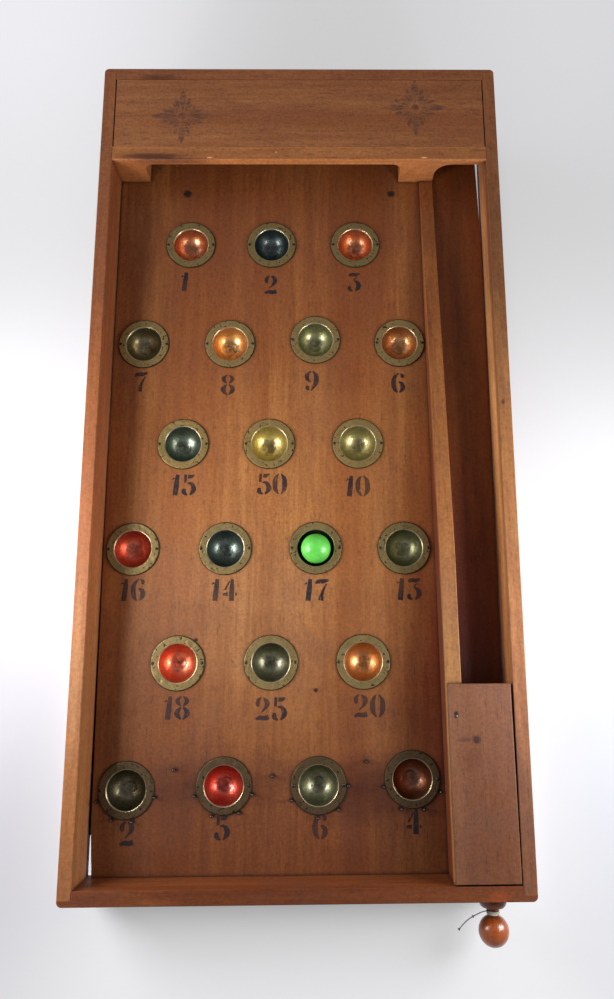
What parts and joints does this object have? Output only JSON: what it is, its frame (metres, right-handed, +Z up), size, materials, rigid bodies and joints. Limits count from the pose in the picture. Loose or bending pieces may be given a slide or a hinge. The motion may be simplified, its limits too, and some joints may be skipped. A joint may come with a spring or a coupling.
{
  "type": "bagatelle board game",
  "caption": "Sloping wooden bagatelle case on four turned feet, with spun metal scoring cups, brass guide pins, a lane, an arched fascia and a sprung plunger.",
  "frame": {"origin": "on the table, under the middle of the whole object's bounding box, the plunger knob included", "axes": "+X to the player's right, +Y away from the player up the case, +Z up; the case climbs 3.2 degrees towards +Y"},
  "size_m": [0.401, 0.8369, 0.1053],
  "materials": {
    "rail_wood": "aged mahogany, satin varnish, worn arrises",
    "board_wood": "aged mahogany, lengthwise grain, satin varnish",
    "divider_wood": "worn pine-coloured hardwood, satin",
    "fascia_wood": "aged mahogany, satin varnish",
    "cover_wood": "aged mahogany, crosswise grain, faded",
    "inner_wood": "plain unvarnished softwood",
    "foot_wood": "turned hardwood, dark varnish",
    "knob_wood": "turned hardwood, glossy varnish",
    "rod_wood": "plain beech dowel",
    "ring_brass": "aged, dull, dented",
    "pin_brass": "aged brads",
    "steel": "tarnished",
    "tinplate": "dull bent strip",
    "lacquer_copper": "tinted lacquer over spun metal, worn",
    "lacquer_red": "tinted lacquer over spun metal, worn",
    "lacquer_green_black": "tinted lacquer over spun metal, worn",
    "lacquer_blue_black": "tinted lacquer over spun metal, worn",
    "lacquer_olive": "tinted lacquer over spun metal, worn",
    "lacquer_gold": "tinted lacquer over spun metal, worn",
    "ball_green": "polished",
    "thread": "twisted cotton"
  },
  "bodies": {
    "case": {"left_rail": "rail_wood", "right_rail": "rail_wood", "bottom_rail": "rail_wood", "top_rail": "rail_wood", "playing_board": "board_wood", "lane_divider": "divider_wood", "arch_fascia": "fascia_wood", "top_cover": "cover_wood", "top_cover_ledger": "inner_wood", "turn_guide": "tinplate", "plunger_cover": "cover_wood", "cover_cleat": "inner_wood", "plunger_guide": "inner_wood", "plunger_spring": "steel", "ring_nails": "ring_brass", "guide_pins": "pin_brass", "edge_nails": "steel", "cover_nail": "steel", "board_screws": "steel", "front_feet": "foot_wood", "rear_feet": "foot_wood", "cups_copper": "lacquer_copper", "cups_red": "lacquer_red", "cups_green_black": "lacquer_green_black", "cups_blue_black": "lacquer_blue_black", "cups_olive": "lacquer_olive", "cup_gold": "lacquer_gold", "rings_front_row": "ring_brass", "rings_second_row": "ring_brass", "rings_third_row": "ring_brass", "rings_fourth_row": "ring_brass", "rings_fifth_row": "ring_brass", "rings_top_row": "ring_brass"},
    "plunger": {"plunger_knob": "knob_wood", "plunger_rod": "rod_wood", "cross_pin": "steel", "spring_washer": "steel", "thread_binding": "thread", "thread_tail": "thread"},
    "ball": {"ball": "ball_green"}
  },
  "joints": [
    {"name": "plunger_pull", "type": "slide", "parent": "case", "child": "plunger", "axis": [0, -0.9984, -0.0558], "range_m": [0, 0.045], "stiffness_N_per_m": 200, "springref_m": -0.03, "deforming": ["plunger_spring"]},
    {"name": "ball_lift", "type": "slide", "parent": "case", "child": "ball", "axis": [0, 0, 1], "range_m": [0, 0.06]}
  ]
}
